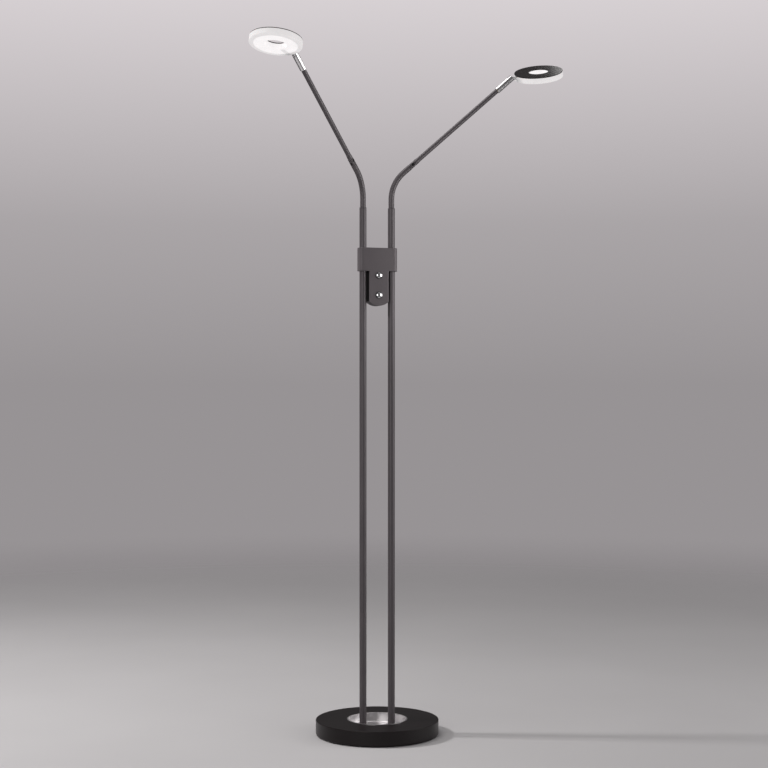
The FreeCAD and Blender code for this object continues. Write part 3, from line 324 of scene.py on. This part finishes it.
# ---------------------------------------------------------------------
# materials
# ---------------------------------------------------------------------
MATS = {
    "black_satin": powder_coat("black_satin_coat", (0.0078, 0.0058, 0.0060), (0.0122, 0.0092, 0.0096), 0.36, grain=1900.0, depth=0.00003, strength=0.22, spec=0.26),
    "anthracite_coat": powder_coat("anthracite_powder_coat", (0.086, 0.076, 0.082), (0.118, 0.105, 0.112), 0.40, metal=0.25, grain=1700.0, depth=0.00004, strength=0.3),
    "block_coat": block_coat("block_powder_coat_and_painted_shade"),
    "cast_ballast": cast("cast_ballast"),
    "zinc_steel": polished("zinc_steel", (0.52, 0.53, 0.55), (0.64, 0.65, 0.66), 0.28),
    "felt": felt("black_felt"),
    "polished_liner": spun_steel("spun_liner"),
    "black_plastic": moulded("black_plastic", (0.010, 0.010, 0.010), (0.020, 0.020, 0.020), 0.45),
    "driver_case": moulded("driver_case", (0.62, 0.62, 0.60), (0.72, 0.72, 0.70), 0.5),
    "lead_jacket": moulded("lead_jacket", (0.012, 0.012, 0.012), (0.022, 0.022, 0.022), 0.6),
    "circuit_board": board("white_circuit_board"),
    "chrome_button": polished("chrome_button", (0.86, 0.86, 0.87), (0.92, 0.92, 0.93), 0.05),
    "black_nylon": moulded("black_nylon", (0.014, 0.014, 0.014), (0.026, 0.025, 0.026), 0.5),
    "grey_nylon": moulded("grey_nylon", (0.052, 0.046, 0.050), (0.070, 0.063, 0.067), 0.5),
    "black_screw": powder_coat("blackened_steel", (0.018, 0.017, 0.018), (0.034, 0.032, 0.033), 0.36, metal=0.6, grain=2400.0, depth=0.00002, strength=0.2),
    "brass": polished("turned_brass", (0.62, 0.44, 0.18), (0.74, 0.55, 0.25), 0.2),
    "chrome": polished("chrome", (0.90, 0.89, 0.90), (0.96, 0.95, 0.96), 0.19, scratch=0.03),
    "led_yellow": phosphor("led_phosphor"),
}
slot_of = {s["node"]: s["material_slot"] for s in frame["record"]["subparts"]}
for name, obj in nodes.items():
    slot = slot_of[name]
    if slot == "lit_acrylic":
        mat = lit_acrylic(name + "_acrylic", DISC[name.split("_")[0]])
    else:
        mat = MATS[slot]
    obj.data.materials.clear()
    obj.data.materials.append(mat)

# ---------------------------------------------------------------------
# floor, light, camera
# ---------------------------------------------------------------------
scene = bpy.context.scene
mesh = bpy.data.meshes.new("floor_mesh")
ring = 96
verts, faces = [(0.0, 0.0, 0.0)], []
radii = (0.5, 1.5, 3.0, 5.2)
for r in radii:
    for k in range(ring):
        a = 2 * math.pi * k / ring
        verts.append((r * math.cos(a), r * math.sin(a), 0.0))
for k in range(ring):
    faces.append((0, 1 + k, 1 + (k + 1) % ring))
for i in range(len(radii) - 1):
    for k in range(ring):
        a, b = 1 + i * ring + k, 1 + i * ring + (k + 1) % ring
        faces.append((a, a + ring, b + ring, b))
mesh.from_pydata(verts, [], faces)
floor = bpy.data.objects.new("floor", mesh)
scene.collection.objects.link(floor)
t = Tree("pale_floor")
t.link(t.ramp(t.noise(1.4, 3.0, 0.5), [(0.3, (0.50, 0.49, 0.495)), (0.7, (0.53, 0.52, 0.525))]), t.bsdf.inputs["Base Color"])
t.bsdf.inputs["Roughness"].default_value = 0.75
reach, _ = t.radius(t.coord)
clear = t.t.nodes.new("ShaderNodeBsdfTransparent")
fade = t.t.nodes.new("ShaderNodeMixShader")
path = t.t.nodes.new("ShaderNodeLightPath")
seen = t.remap(reach, 1.2, 5.0, 0.0, 1.0, smooth=True)
bounced = t.math("MULTIPLY", t.remap(reach, 0.5, 1.6, 0.0, 1.0, smooth=True), path.outputs["Is Glossy Ray"])
t.link(t.math("MAXIMUM", seen, bounced), fade.inputs[0])
t.link(t.bsdf.outputs["BSDF"], fade.inputs[1])
t.link(clear.outputs[0], fade.inputs[2])
t.link(fade.outputs[0], t.out.inputs["Surface"])
floor.data.materials.append(t.mat)

world = bpy.data.worlds.new("studio")
scene.world = world
world.use_nodes = True
wt = world.node_tree
wt.nodes.clear()
w_out = wt.nodes.new("ShaderNodeOutputWorld")
w_bg = wt.nodes.new("ShaderNodeBackground")
w_tc = wt.nodes.new("ShaderNodeTexCoord")
w_sep = wt.nodes.new("ShaderNodeSeparateXYZ")
w_ramp = wt.nodes.new("ShaderNodeValToRGB")
w_studio = wt.nodes.new("ShaderNodeValToRGB")
w_mix = wt.nodes.new("ShaderNodeMix")
w_mix.data_type = "RGBA"
w_path = wt.nodes.new("ShaderNodeLightPath")
wt.links.new(w_tc.outputs["Generated"], w_sep.inputs[0])
wt.links.new(w_sep.outputs[2], w_ramp.inputs["Fac"])
wt.links.new(w_sep.outputs[2], w_studio.inputs["Fac"])
wt.links.new(w_path.outputs["Is Camera Ray"], w_mix.inputs[0])
wt.links.new(w_studio.outputs["Color"], w_mix.inputs[6])
wt.links.new(w_ramp.outputs["Color"], w_mix.inputs[7])
wt.links.new(w_mix.outputs[2], w_bg.inputs["Color"])
wt.links.new(w_bg.outputs[0], w_out.inputs["Surface"])


def stops(ramp, items):
    e = ramp.color_ramp.elements
    while len(e) < len(items):
        e.new(0.5)
    for el, (pos, c) in zip(e, items):
        el.position = pos
        el.color = (*c, 1.0)


# upright component of the direction: 0 is the horizon
stops(w_ramp, [(0.0, (0.310, 0.292, 0.300)), (0.10, (0.40, 0.376, 0.386)), (0.24, (0.685, 0.642, 0.660)), (1.0, (0.72, 0.675, 0.695))])
stops(w_studio, [(0.0, (0.12, 0.117, 0.118)), (0.35, (0.105, 0.102, 0.103)), (0.74, (0.105, 0.102, 0.103)), (1.0, (0.46, 0.45, 0.455))])
w_bg.inputs["Strength"].default_value = 1.0


def area(name, pos, aim, sx, sy, power, color=(1.0, 0.98, 0.975), gloss=True):
    d = bpy.data.lights.new(name, "AREA")
    d.shape = "RECTANGLE"
    d.size, d.size_y = sx, sy
    d.energy = power
    d.color = color
    o = bpy.data.objects.new(name, d)
    scene.collection.objects.link(o)
    o.location = pos
    o.rotation_euler = (Vector(aim) - Vector(pos)).to_track_quat("-Z", "Y").to_euler()
    o.visible_camera = False
    o.visible_glossy = gloss
    return o


area("key_left_back", (-2.3, 0.9, 2.5), (0.0, 0.0, 0.2), 0.26, 0.26, 66.0, gloss=False)
area("soft_right", (2.75, -1.25, 1.25), (0.0, 0.0, 1.0), 2.1, 2.3, 31.0)
area("soft_left_front", (-2.05, -2.3, 1.35), (0.0, 0.0, 1.05), 1.3, 2.2, 20.0)
area("top_soft", (-0.8, 0.3, 3.4), (0.0, 0.0, 0.0), 1.9, 1.8, 27.0)
area("block_side", (0.36, -0.40, 1.10), (0.0, -0.01, 1.05), 0.16, 0.5, 0.8)
area("plate_sheen", (0.60, 0.19, 1.755), (0.405, -0.06, 1.53), 0.14, 0.14, 0.22)

cam_data = bpy.data.cameras.new("camera")
cam = bpy.data.objects.new("camera", cam_data)
scene.collection.objects.link(cam)
cam_data.sensor_width = 36.0
cam_data.sensor_fit = "HORIZONTAL"
cam_data.lens = 1587.0 / 768.0 * 36.0
cam.location = (-1.1048, -3.4505, 0.799)
cam.rotation_euler = (math.radians(90.0), 0.0, math.radians(-18.0))
scene.camera = cam
scene.view_settings.view_transform = "Standard"
scene.view_settings.look = "None"
